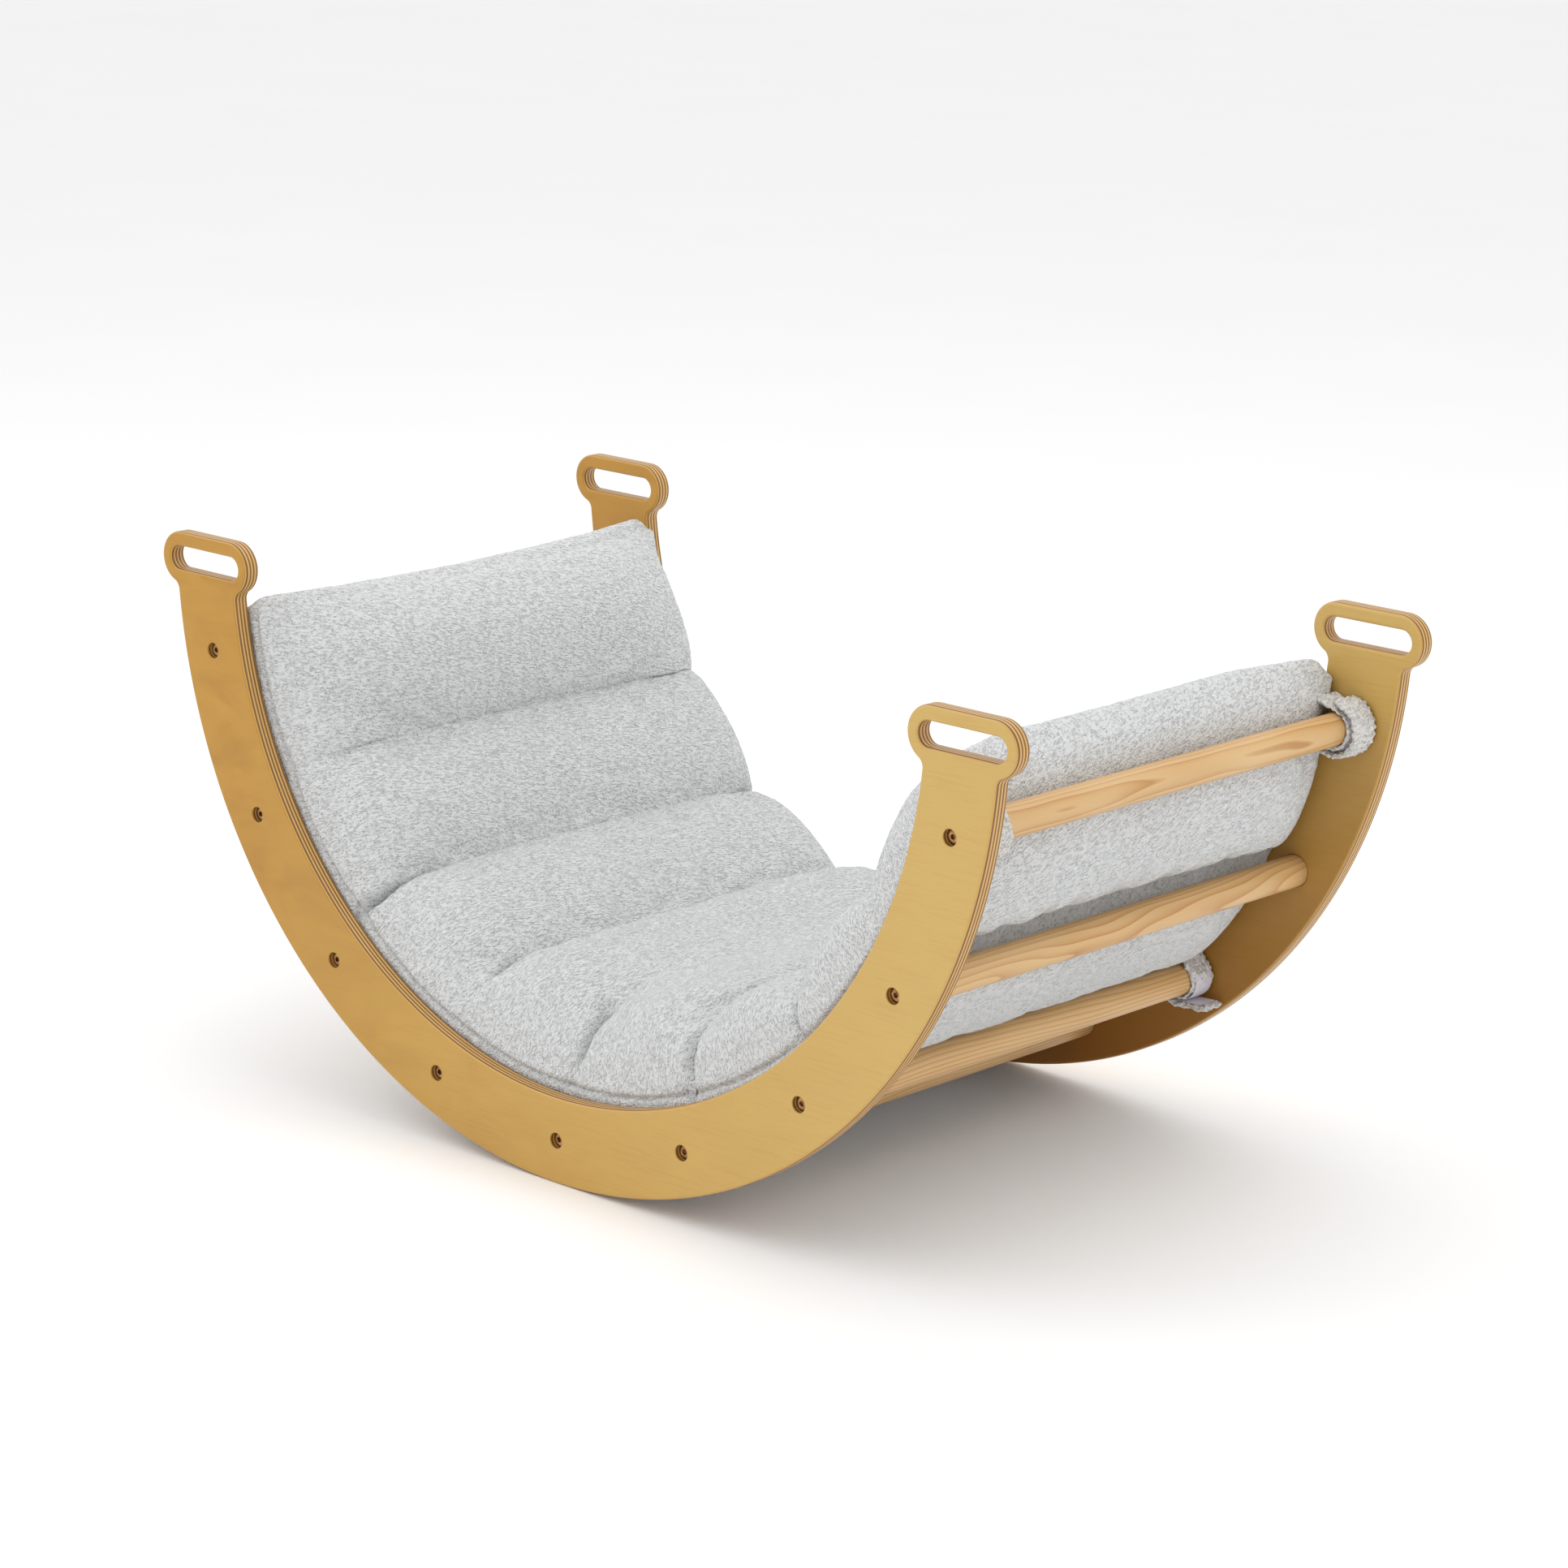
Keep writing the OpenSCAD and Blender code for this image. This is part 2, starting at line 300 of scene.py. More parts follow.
def panel_edge(inset):
    """The panel's outline, drawn in by an inset, counterclockwise from the lowest point."""
    head_r = head_h / 2
    half_len = (head_len - head_h) / 2
    head_z = rocking_r - head_drop
    outer_end = np.array([rung_line_r + half_len, head_z])
    inner_end = np.array([rung_line_r - half_len, head_z])
    outer_c = crossing(arch_centre, rocking_r + hollow_r, outer_end, head_r + hollow_r)
    inner_c = crossing(arch_centre, inner_r - hollow_r, inner_end, head_r + hollow_r)
    outer_turn = heading(outer_c, outer_end)
    inner_turn = heading(inner_c, inner_end)
    outer_top = heading(arch_centre, outer_c)
    inner_top = heading(arch_centre, inner_c)
    down = -math.pi / 2
    right = arc(arch_centre, rocking_r - inset, down, outer_top, 150)
    right += arc(outer_c, hollow_r + inset, outer_top + math.pi, outer_turn, 10)
    right += arc(outer_end, head_r - inset, outer_turn - math.pi, math.pi / 2, 26)
    right += [outer_end + np.array([0, head_r - inset])]
    right += arc(inner_end, head_r - inset, math.pi / 2, inner_turn + math.pi, 26)
    right += arc(inner_c, hollow_r + inset, inner_turn, inner_top, 10)
    right += arc(arch_centre, inner_r + inset, inner_top, down, 150)
    right += [arch_centre - np.array([0, inner_r + inset])]
    left = [p * np.array([-1, 1]) for p in right[-2:0:-1]]
    return right + left


def slot_edge(side, inset):
    """A hand slot's outline, clockwise, grown by the inset of the rounded edge."""
    r = slot_h / 2 + inset
    half_len = (slot_len - slot_h) / 2
    head_z = rocking_r - head_drop
    middle = np.array([side * rung_line_r, head_z])
    rim = arc(middle + np.array([half_len, 0]), r, math.pi / 2, -math.pi / 2, 20)
    rim += [middle + np.array([half_len, -r])]
    rim += arc(middle - np.array([half_len, 0]), r, -math.pi / 2, -3 * math.pi / 2, 20)
    rim += [middle + np.array([-half_len, r])]
    return rim


def hole_edge(place, r):
    """A round hole's outline at one rung place, clockwise."""
    return arc(on_arch(place * rung_step, rung_line_r), r, math.pi, -math.pi, 40)


def rounded_levels():
    """(inset, depth) pairs over one rounded edge, from the face inwards."""
    steps = 5
    turns = [math.pi / 2 * i / steps for i in range(steps + 1)]
    return [(round_over * (1 - math.sin(a)), round_over * (1 - math.cos(a))) for a in turns]


def hole_levels():
    """(radius, depth) pairs through the panel: bolt recess, bore, then rung socket."""
    socket_floor = ply_t - socket_depth
    levels = [(recess_r + recess_lip, 0), (recess_r, recess_lip), (recess_r, recess_depth)]
    levels += [(bore_r, recess_depth), (bore_r, socket_floor), (socket_r, socket_floor)]
    levels += [(socket_r, ply_t - socket_lip), (socket_r + socket_lip, ply_t)]
    return levels


def panel_shape(end):
    """Verts and faces of one panel; depth runs from its outer face to its inner one."""
    verts, faces = [], []
    outer_loops, inner_loops = [], []

    def add_loop(points, depth):
        start = len(verts)
        y = end * (half_width - depth)
        verts.extend((p[0], y, p[1]) for p in points)
        return list(range(start, start + len(points)))

    def join(one, two):
        count = len(one)
        for i in range(count):
            j = (i + 1) % count
            faces.append((one[i], one[j], two[j], two[i]))

    def wall(edge_at, levels):
        loops = [add_loop(edge_at(inset), depth) for inset, depth in levels]
        for one, two in zip(loops, loops[1:]):
            join(one, two)
        outer_loops.append(loops[0])
        inner_loops.append(loops[-1])

    edge_levels = rounded_levels()
    far_levels = [(inset, ply_t - depth) for inset, depth in reversed(edge_levels)]
    wall(panel_edge, edge_levels + far_levels)
    for side in (-1, 1):
        wall(lambda inset, side=side: slot_edge(side, inset), edge_levels + far_levels)
    for place in rung_places:
        wall(lambda r, place=place: hole_edge(place, r), hole_levels())
    for loops in (outer_loops, inner_loops):
        flat = [i for loop in loops for i in loop]
        polygons = [[Vector((verts[i][0], verts[i][2], 0)) for i in loop] for loop in loops]
        for a, b, c in geometry.tessellate_polygon(polygons):
            faces.append((flat[a], flat[b], flat[c]))
    return verts, faces


def facing_out(piece):
    """Turns a closed mesh's faces so that they all point out."""
    shape = bmesh.new()
    shape.from_mesh(piece.data)
    bmesh.ops.recalc_face_normals(shape, faces=shape.faces)
    shape.to_mesh(piece.data)
    shape.free()


def smoothed(piece, sharp_over=None):
    """Smooth shading, broken at edges sharper than an angle in degrees if one is given."""
    mesh = piece.data
    mesh.polygons.foreach_set("use_smooth", [True] * len(mesh.polygons))
    if sharp_over is not None:
        mesh.set_sharp_from_angle(angle=math.radians(sharp_over))


def mask_grey(amount):
    """The grey that stands for a share, in a ramp that is used as a mask."""
    return (amount, amount, amount, 1)


birch = Finish("varnished_birch_plywood", Roughness=0.42, Coat_Weight=0.2, Coat_Roughness=0.3)
spot = birch.place()
depth_in = (half_width - abs(birch.axis(spot, "Y"))) / ply_t
flame = birch.cloud(birch.stretched(spot, (5, 1, 11)), 2.2, 3.0, 0.55, 0.8)
streaks = birch.cloud(birch.stretched(spot, (5, 1, 130)), 3.0, 4.0, 0.6, 0.3)
pores = birch.cloud(birch.stretched(spot, (60, 1, 900)), 3.0, 2.0, 0.5)
none, some, full = mask_grey(0), mask_grey(0.35), mask_grey(1)
face_stops = [(0.3, tint(174, 122, 16)), (0.5, tint(182, 131, 24)), (0.72, tint(188, 138, 34))]
face_colour = birch.ramp(flame, face_stops)
# Painted sheen: the faces turn paler and whiter towards the right, standing in for a soft lamp's gloss
# on the varnish there.
toward_right = birch.axis(spot, "X") * 0.85 + 0.5
painted_sheen_share = birch.ramp(toward_right, [(0.1, none), (0.55, mask_grey(0.5)), (0.9, mask_grey(0.85))])
streak_share = birch.ramp(streaks, [(0.5, none), (0.85, some)])
pore_share = birch.ramp(pores, [(0.62, none), (0.8, some)])
face_colour = birch.blended(face_colour, tint(208, 174, 98), painted_sheen_share)
face_colour = birch.blended(face_colour, tint(176, 126, 44), streak_share)
face_colour = birch.blended(face_colour, tint(160, 110, 38), pore_share)
# Painted shade: the inner faces are tinted a deeper, darker ochre towards the bottom, standing in for
# shade and warm bounce light between the panels.
painted_shade_low_down = birch.ramp(birch.axis(spot, "Z") / rocking_r, [(0.1, full), (0.75, some), (0.95, none)])
is_inner = birch.ramp(depth_in, [(0.5, none), (0.55, full)])
face_colour_with_painted_shade = birch.blended(face_colour, tint(148, 88, 0), painted_shade_low_down * is_inner * 0.9)

# Shares of the panel's depth: a face veneer, then seven inner plies by turns dark and light
face_veneer = 0.1
ply_share = 0.1146
dark_ply = (tint(98, 56, 14), tint(128, 80, 26))
light_ply = (tint(224, 184, 112), tint(214, 172, 98))
ply_stops = [(0.0, tint(196, 150, 66)), (0.085, tint(214, 170, 92)), (face_veneer, tint(92, 52, 12))]
for ply in range(7):
    starts = face_veneer + ply * ply_share
    low, high = dark_ply if ply % 2 == 0 else light_ply
    ply_stops += [(starts + 0.008, low), (starts + 0.106, high)]
ply_stops += [(0.912, tint(206, 162, 84)), (1.0, tint(196, 150, 66))]
plies = birch.ramp(depth_in, ply_stops)
ply_wear = birch.cloud(birch.stretched(spot, (14, 420, 14)), 1.0, 3.0)
plies = birch.blended(plies, tint(178, 128, 56), ply_wear * 0.45)
is_face = birch.ramp(abs(depth_in - 0.5), [(0.44, none), (0.47, full)])
birch.gloss("Base Color", birch.blended(plies, face_colour_with_painted_shade, is_face))
birch.gloss("Roughness", 0.36 + 0.16 * streaks)
birch.gloss("Normal", birch.raised(streaks + 0.5 * pores, 0.0003, 0.35))

for end, name in ((-1, "front"), (1, "rear")):
    panel = new_piece("panel_" + name, *panel_shape(end))
    facing_out(panel)
    smoothed(panel, sharp_over=40)
    panel.modifiers.new("flat_faces", "WEIGHTED_NORMAL").keep_sharp = True
    panel.data.materials.append(birch.material)
    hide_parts("side_panel_" + name)
    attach(panel, "rocker")


# ---- Rungs --------------------------------------------------------------
# Nine turned pine dowels, sanded and varnished. Each end sits in a shallow
# round socket in its side panel.

rung_r = 0.016
rung_len = 0.570
rung_sides = 64
end_round = 0.001
growth_ring = 0.0046
heart_off = 0.034

pine = Finish("varnished_pine", Roughness=0.4, Coat_Weight=0.15, Coat_Roughness=0.3)
spot = pine.place()
wander = pine.cloud(pine.stretched(spot, (16, 3.2, 16)), 1.0, 2.0, 0.5)
drift = pine.cloud(pine.stretched(spot, (5, 1.6, 5), (3, 7, 1)), 1.0, 1.0, 0.5)
across = pine.axis(spot, "X") + heart_off + (drift - 0.5) * 0.05
above = pine.axis(spot, "Z") + (wander - 0.5) * 0.022 + pine.axis(spot, "Y") * 0.012
from_heart = (across * across + above * above) ** 0.5
ring_place = (from_heart + (wander - 0.5) * 0.006) / growth_ring
within_ring = ring_place % 1.0
pine_colour = pine.ramp(
    within_ring,
    [
        (0.0, tint(216, 180, 126)),
        (0.45, tint(210, 170, 114)),
        (0.78, tint(198, 150, 90)),
        (0.92, tint(182, 128, 66)),
        (1.0, tint(212, 174, 118)),
    ],
)
fibres = pine.cloud(pine.stretched(spot, (700, 14, 700)), 1.0, 2.0, 0.6)
pine_colour = pine.blended(pine_colour, tint(196, 148, 90), fibres * 0.35)
broad = pine.cloud(pine.stretched(spot, (8, 4, 8), (1, 2, 9)), 1.0, 2.0)
pale_patches = pine.ramp(broad, [(0.45, none), (0.75, mask_grey(0.5))])
pine_colour = pine.blended(pine_colour, tint(230, 200, 150), pale_patches)
pine.gloss("Base Color", pine_colour)
pine.gloss("Roughness", 0.34 + 0.14 * fibres)
pine.gloss("Normal", pine.raised(within_ring * 0.5 + fibres, 0.0002, 0.3))


def turned(profile, sides):
    """Verts and faces of a closed shape turned about Y, from (radius, y) pairs."""
    verts, faces = [], []
    for r, y in profile:
        for k in range(sides):
            a = 2 * math.pi * k / sides
            verts.append((r * math.cos(a), y, r * math.sin(a)))
    for row in range(len(profile) - 1):
        for k in range(sides):
            n = (k + 1) % sides
            low, high = row * sides, (row + 1) * sides
            faces.append((low + k, high + k, high + n, low + n))
    faces.append(tuple(range(sides)))
    top = (len(profile) - 1) * sides
    faces.append(tuple(range(top + sides - 1, top - 1, -1)))
    return verts, faces


for place in rung_places:
    number = place + 5
    centre = on_arch(place * rung_step, rung_line_r)
    half = rung_len / 2
    start_curve = [(end_round, 0.0), (0.3 * end_round, 0.3 * end_round), (0.0, end_round)]
    profile = [(rung_r - drawn_in, -half + along) for drawn_in, along in start_curve]
    profile += [(rung_r, y) for y in np.linspace(-half + 0.03, half - 0.03, 19)]
    profile += [(rung_r - drawn_in, half - along) for drawn_in, along in reversed(start_curve)]
    # Each rung is cut from its own stretch of timber and turned its own way
    grain_shift = 0.83 * place + 2.1
    grain_turn = 2.4 * place + 0.6
    verts, faces = turned([(r, y + grain_shift) for r, y in profile], rung_sides)
    rung = new_piece(f"pine_rung_{number}", verts, faces)
    smoothed(rung, sharp_over=30)
    rung.rotation_euler = (0, grain_turn, 0)
    rung.location = (centre[0], -grain_shift, centre[1])
    rung.data.materials.append(pine.material)
    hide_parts(f"rung_{number}")
    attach(rung, "rocker")


# ---- Bolts and inserts --------------------------------------------------
# A zinc-bronze socket bolt sits in a recess at each rung end. It screws into a
# threaded steel insert in the rung.

bolt_head_r = 0.0065
bolt_head_h = 0.0038
key_r = 0.0029
key_depth = 0.0028
shank_r = 0.004
shank_len = 0.040

bronze = Finish("bronzed_zinc", Metallic=1.0, Roughness=0.3)
spot = bronze.place()
bronze_shade = bronze.cloud(spot, 160.0, 3.0, 0.6)
bronze_stops = [(0.3, tint(120, 84, 62)), (0.55, tint(168, 128, 84)), (0.75, tint(206, 176, 122))]
bronze.gloss("Base Color", bronze.ramp(bronze_shade, bronze_stops))
bronze.gloss("Roughness", 0.22 + 0.25 * bronze_shade)


def bolt_shape(end, place, verts, faces):
    """Adds one bolt: a rounded head with a hexagon socket, and its shank."""
    centre = on_arch(place * rung_step, rung_line_r)
    top = recess_depth - bolt_head_h
    path = [(key_r, top + key_depth), (key_r, top + 0.0002), (key_r + 0.0005, top)]
    path += [(bolt_head_r - 0.0012, top), (bolt_head_r - 0.0004, top + 0.0003)]
    path += [(bolt_head_r, top + 0.0011), (bolt_head_r, recess_depth)]
    path += [(shank_r, recess_depth), (shank_r, recess_depth + shank_len)]
    start = len(verts)
    sides = 36
    spin = place * 0.7
    for row, (r, depth) in enumerate(path):
        in_key_socket = row < 2
        for k in range(sides):
            a = 2 * math.pi * k / sides
            reach = r
            if in_key_socket:
                within = (a % (math.pi / 3)) - math.pi / 6
                reach = r * math.cos(math.pi / 6) / math.cos(within)
            x = centre[0] + reach * math.cos(a + spin)
            z = centre[1] + reach * math.sin(a + spin)
            verts.append((x, end * (half_width - depth), z))
    for row in range(len(path) - 1):
        for k in range(sides):
            n = (k + 1) % sides
            low, high = start + row * sides, start + (row + 1) * sides
            faces.append((low + k, low + n, high + n, high + k))
    faces.append(tuple(start + k for k in range(sides)))
    last = start + (len(path) - 1) * sides
    faces.append(tuple(last + k for k in reversed(range(sides))))


for end, name in ((-1, "front"), (1, "rear")):
    verts, faces = [], []
    for place in rung_places:
        bolt_shape(end, place, verts, faces)
    bolts = new_piece("socket_bolts_" + name, verts, faces)
    facing_out(bolts)
    smoothed(bolts, sharp_over=35)
    bolts.data.materials.append(bronze.material)
    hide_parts("bolts_" + name)
    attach(bolts, "rocker")

zinc = Finish("zinc_plate", Metallic=1.0, Roughness=0.35)
zinc_shade = zinc.cloud(zinc.place(), 300.0, 2.0)
zinc.gloss("Base Color", zinc.blended(tint(170, 172, 170), tint(205, 206, 200), zinc_shade))
for name in ("inserts_front", "inserts_rear"):
    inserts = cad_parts[name]
    inserts.data.materials.clear()
    inserts.data.materials.append(zinc.material)


# ---- Cushion ------------------------------------------------------------
# One long cushion of looped boucle, sewn into eight channels of filling. It lies
# on the rungs, swells between them, and is pushed together at the bottom.

seam_step = math.radians(20.6)
channel_count = 8
columns_per_channel = 22
half_cushion_w = 0.2770
puffed_w = 0.2808
rung_face_r = rung_line_r - rung_r
cushion_gap = 0.0004
welt_line_r = 0.4530
back_edge_r = 0.4790
tucked_under = math.radians(2.5)

# Radii on which angles are turned into lengths along the seat side and along the back
seat_length_r = 0.42
back_length_r = 0.49

# Distance from the arch's centre to the seat side, at each seam and in each channel
seam_radii = [0.428, 0.406, 0.402, 0.394, 0.372, 0.394, 0.402, 0.406, 0.428]
crest_radii = [0.385, 0.388, 0.385, 0.370, 0.371, 0.384, 0.387, 0.385]
# How deep each seam is drawn in across the cushion, as (y, strength) pairs
seam_pull = {
    -3: [(-0.280, 0.25), (-0.225, 0.3), (-0.190, 1.0), (0.200, 1.0), (0.230, 0.5), (0.280, 0.35)],
    -2: [(-0.280, 1.5), (-0.200, 1.15), (0.200, 1.1), (0.280, 1.4)],
    -1: [(-0.280, 0.6), (-0.225, 0.5), (-0.185, 1.0), (0.280, 1.1)],
    0: [(-0.280, 0.3), (-0.225, 0.8), (-0.185, 0.2), (0.150, 0.2), (0.280, 0.8)],
    1: [(-0.280, 0.5), (-0.250, 1.2), (-0.200, 0.4), (-0.150, 0.35), (0.280, 0.9)],
    2: [(-0.280, 1.3), (-0.220, 1.3), (-0.180, 1.0), (0.280, 1.2)],
    3: [(-0.280, 0.15), (-0.225, 0.3), (-0.190, 1.0), (0.190, 1.0), (0.225, 0.3), (0.280, 0.3)],
}
# A seam is stitched down where its strength is over this
stitched_over = 0.42
# Short dark tucks at seam ends: seam, y where it fades in, y where it fades out, depth
tucks = [
    (-2, -0.296, -0.235, 0.022),
    (-1, -0.252, -0.200, 0.018),
    (0, -0.280, -0.212, 0.022),
    (1, -0.296, -0.232, 0.024),
    (2, -0.300, -0.245, 0.014),
    (-2, 0.235, 0.300, 0.008),
]
tuck_w = 0.0045
tuck_fade = 0.02
# How far each end of the cushion bulges past its last seam, in degrees at a few y
end_places = [-0.277, -0.20, -0.10, 0.0, 0.10, 0.20, 0.277]
end_bulges = {-1: [2.2, 1.9, 1.5, 1.4, 1.8, 2.4, 2.9], 1: [2.6, 2.4, 2.3, 2.4, 2.6, 2.8, 3.0]}


def rising(value, start, span):
    """0 up to a start, then a straight rise to 1 over a span."""
    return np.clip((value - start) / span, 0, 1)


def hump(value, middle, width):
    """1 at the middle, fading smoothly to 0 on both sides."""
    return np.exp(-(((value - middle) / width) ** 2))


def tuck_depth(angle, y):
    """How far the stitched seam ends pull the seat side down."""
    depth = np.zeros_like(y)
    for k, low, high, deepest in tucks:
        beside_seam = (angle - k * seam_step) * seat_length_r
        along = rising(y, low, tuck_fade) * rising(-y, -high, tuck_fade)
        depth += deepest * along * hump(beside_seam, 0, tuck_w)
    return depth


def pull_at(k, y):
    """How deep a seam is drawn in at points across the cushion."""
    if k not in seam_pull:
        return np.ones_like(y)
    places, strengths = zip(*seam_pull[k])
    return np.interp(y, places, strengths)


def seat_radius(angle, y):
    """Distance from the arch's centre to the seat side, before the fabric is let swell."""
    degrees = math.degrees(angle)
    at = angle / seam_step + channel_count / 2
    channel = int(min(max(math.floor(at), 0), channel_count - 1))
    f = at - channel
    crest = crest_radii[channel]
    first = crest + (seam_radii[channel] - crest) * pull_at(channel - 4, y)
    second = crest + (seam_radii[channel + 1] - crest) * pull_at(channel - 3, y)
    rise = max(math.sin(math.pi * f), 0.0)
    swell = 0.55 * rise**0.42 + 0.45 * rise**1.2
    middle = first * (1 - f) + second * f
    middle = middle + (crest - middle) * swell

    # The corners of the two ends lie lower than the middle of the ends
    corner_drop = 0.026 * rising(abs(degrees), 59, 14) * rising(np.abs(y), 0.17, 0.11)
    middle = middle + corner_drop

    # The sides fall to the welt: square at the far panel, rounder at the near one and the ends
    from_middle = np.clip(np.abs(y) / half_cushion_w, 0, 1)
    welt_r = welt_line_r - 0.004 * swell
    near_boxy = rising(degrees, 3, 14)
    end_taper = rising(-abs(degrees), -78, 12)
    boxy = np.where(y < 0, near_boxy, 1.0) * end_taper
    squareness = 4.5 + (3.0 + 6.0 * boxy) * swell
    fall = (1 - from_middle**squareness) ** (0.6 - 0.22 * boxy)
    welt_groove = 0.0045 * hump(np.abs(y), 0.2655, 0.0045)
    return welt_r - (welt_r - middle) * fall + welt_groove + tuck_depth(angle, y)


def back_radius(angle, y):
    """Distance from the arch's centre to the side that lies on the rungs."""
    gap = (angle / rung_step) % 1.0
    swell = math.sin(math.pi * gap) ** 0.8
    if abs(angle) > 4 * rung_step:
        swell = 0.0
    middle = rung_face_r - cushion_gap + 0.0095 * swell
    for k, depth in ((3, 0.024), (2, 0.010), (1, 0.004)):
        dip_at = k * seam_step - (tucked_under if k == 3 else 0.0)
        middle -= depth * hump(abs(angle), dip_at, math.radians(1.5))
    past_last_rung = max(0.0, (abs(math.degrees(angle)) - 78.6) / 3.8)
    middle -= 0.016 * past_last_rung**2
    from_middle = np.clip(np.abs(y) / half_cushion_w, 0, 1)
    return back_edge_r + (middle - back_edge_r) * (1 - from_middle**9) ** 0.55


def cushion_shape():
    """Verts, faces, the verts that stitching or rungs hold, and the stitched ones alone."""
    columns = channel_count * columns_per_channel
    across_count, side_count = 76, 8
    s = np.linspace(-1, 1, across_count + 1)
    across_y = half_cushion_w * (0.65 * s + 0.35 * np.sin(s * math.pi / 2))
    ring_size = 2 * (across_count + side_count)
    verts, faces, held, stitched = [], [], [], set()
    side_swell = [math.sin(math.pi * j / side_count) ** 0.7 for j in range(side_count + 1)]
    for column in range(columns + 1):
        channel, part = divmod(column, columns_per_channel)
        even = part / columns_per_channel
        eased = 0.5 - 0.5 * math.cos(math.pi * even)
        angle = (channel + 0.45 * even + 0.55 * eased - channel_count / 2) * seam_step
        seat = seat_radius(angle, across_y)
        back = back_radius(angle, across_y)
        k = (column - columns // 2) // columns_per_channel
        on_seam = column % columns_per_channel == 0 and 0 < column < columns
        pulls = pull_at(k, across_y) if on_seam else None
        nearest_rung = round(angle / rung_step)
        from_rung = abs(angle / rung_step - nearest_rung) * rung_step * back_length_r
        on_rung = from_rung < 0.006 and abs(nearest_rung) != 3
        behind_seam = abs(abs(angle) - 3 * seam_step + tucked_under) < math.radians(0.8)
        ring = []
        for i, (y, r) in enumerate(zip(across_y, seat)):
            is_sewn = on_seam and pulls[i] > stitched_over and 2 < i < across_count - 2
            ring.append((y, r, is_sewn))
        for j in range(1, side_count):
            t = j / side_count
            y = half_cushion_w + (puffed_w - half_cushion_w) * side_swell[j]
            ring.append((y, seat[-1] * (1 - t) + back[-1] * t, False))
        for y, r in zip(across_y[::-1], back[::-1]):
            ring.append((y, r, (on_rung or behind_seam) and abs(y) < 0.26))
        for j in range(1, side_count):
            t = 1 - j / side_count
            y = -half_cushion_w - (puffed_w - half_cushion_w) * side_swell[j]
            ring.append((y, seat[0] * (1 - t) + back[0] * t, False))
        for y, r, is_held in ring:
            if is_held:
                held.append(len(verts))
                if on_seam and r < 0.47:
                    stitched.add(len(verts))
            x, z = on_arch(angle, r)
            verts.append((x, y, z))
    for column in range(columns):
        for i in range(ring_size):
            n = (i + 1) % ring_size
            low, high = column * ring_size, (column + 1) * ring_size
            faces.append((low + i, low + n, high + n, high + i))
    for column, side in ((0, -1), (columns, 1)):
        start = column * ring_size
        grid = {}
        for i in range(across_count + 1):
            grid[i, 0] = start + i
            grid[i, side_count] = start + 2 * across_count + side_count - i
        for j in range(1, side_count):
            grid[across_count, j] = start + across_count + j
            grid[0, j] = start + ring_size - j
        angle = side * channel_count / 2 * seam_step
        seat = seat_radius(angle, across_y)
        back = back_radius(angle, across_y)
        for i in range(1, across_count):
            bulge = math.radians(np.interp(across_y[i], end_places, end_bulges[side]))
            out = bulge * (1 - abs(s[i]) ** 30)
            for j in range(1, side_count):
                t = j / side_count
                grid[i, j] = len(verts)
                swollen_to = angle + side * out * side_swell[j] * (1 - 0.7 * t)
                x, z = on_arch(swollen_to, seat[i] * (1 - t) + back[i] * t)
                verts.append((x, across_y[i], z))
        for i in range(across_count):
            for j in range(side_count):
                quad = (grid[i, j], grid[i + 1, j], grid[i + 1, j + 1], grid[i, j + 1])
                faces.append(quad if side < 0 else quad[::-1])
    return verts, faces, held, stitched


def crease_seams(mesh, stitched):
    """Keeps the stitched lines sharp when the mesh is subdivided."""
    crease = mesh.attributes.new("crease_edge", "FLOAT", "EDGE")
    for edge in mesh.edges:
        if edge.vertices[0] in stitched and edge.vertices[1] in stitched:
            crease.data[edge.index].value = 0.9


def points_of(mesh):
    """The mesh's points, one row each."""
    flat = np.empty(len(mesh.vertices) * 3)
    mesh.vertices.foreach_get("co", flat)
    return flat.reshape(-1, 3)


def set_points(mesh, points):
    mesh.vertices.foreach_set("co", np.asarray(points, float).ravel())
    mesh.update()


def swell_fabric(piece, held, give, pressure, furthest, frames=20):
    """Lets the fabric swell as cloth between its held points, no further than a limit.

    Where give is low, near a stiff welt, the fabric keeps more of its sewn shape."""
    start = points_of(piece.data)
    group = piece.vertex_groups.new(name="held")
    group.add(held, 1.0, "REPLACE")
    cloth = piece.modifiers.new("swelling", "CLOTH")
    cloth.settings.quality = 5
    cloth.settings.mass = 0.2
    cloth.settings.tension_stiffness = 10
    cloth.settings.compression_stiffness = 10
    cloth.settings.shear_stiffness = 4
    cloth.settings.bending_stiffness = 0.4
    cloth.settings.use_pressure = True
    cloth.settings.uniform_pressure_force = pressure
    cloth.settings.effector_weights.gravity = 0
    cloth.settings.vertex_group_mass = "held"
    cloth.settings.shrink_min = -0.045
    cloth.collision_settings.use_collision = False
    cloth.point_cache.frame_start = 1
    cloth.point_cache.frame_end = frames
    scene = bpy.context.scene
    for frame_number in range(1, frames + 1):
        scene.frame_set(frame_number)
    swollen = piece.evaluated_get(bpy.context.evaluated_depsgraph_get())
    moved = points_of(swollen.data) - start
    piece.modifiers.remove(cloth)
    piece.vertex_groups.remove(group)
    dist = np.linalg.norm(moved, axis=1, keepdims=True)
    short = furthest * np.tanh(dist / furthest) / np.maximum(dist, 1e-9)
    set_points(piece.data, start + moved * short * give[:, None])
    scene.frame_set(1)


def subdivided(piece):
    """Applies one round of subdivision to the piece's own mesh."""
    softer = piece.modifiers.new("softer", "SUBSURF")
    softer.levels = softer.render_levels = 1
    fine = bpy.data.meshes.new_from_object(piece.evaluated_get(bpy.context.evaluated_depsgraph_get()))
    piece.modifiers.remove(softer)
    piece.data = fine


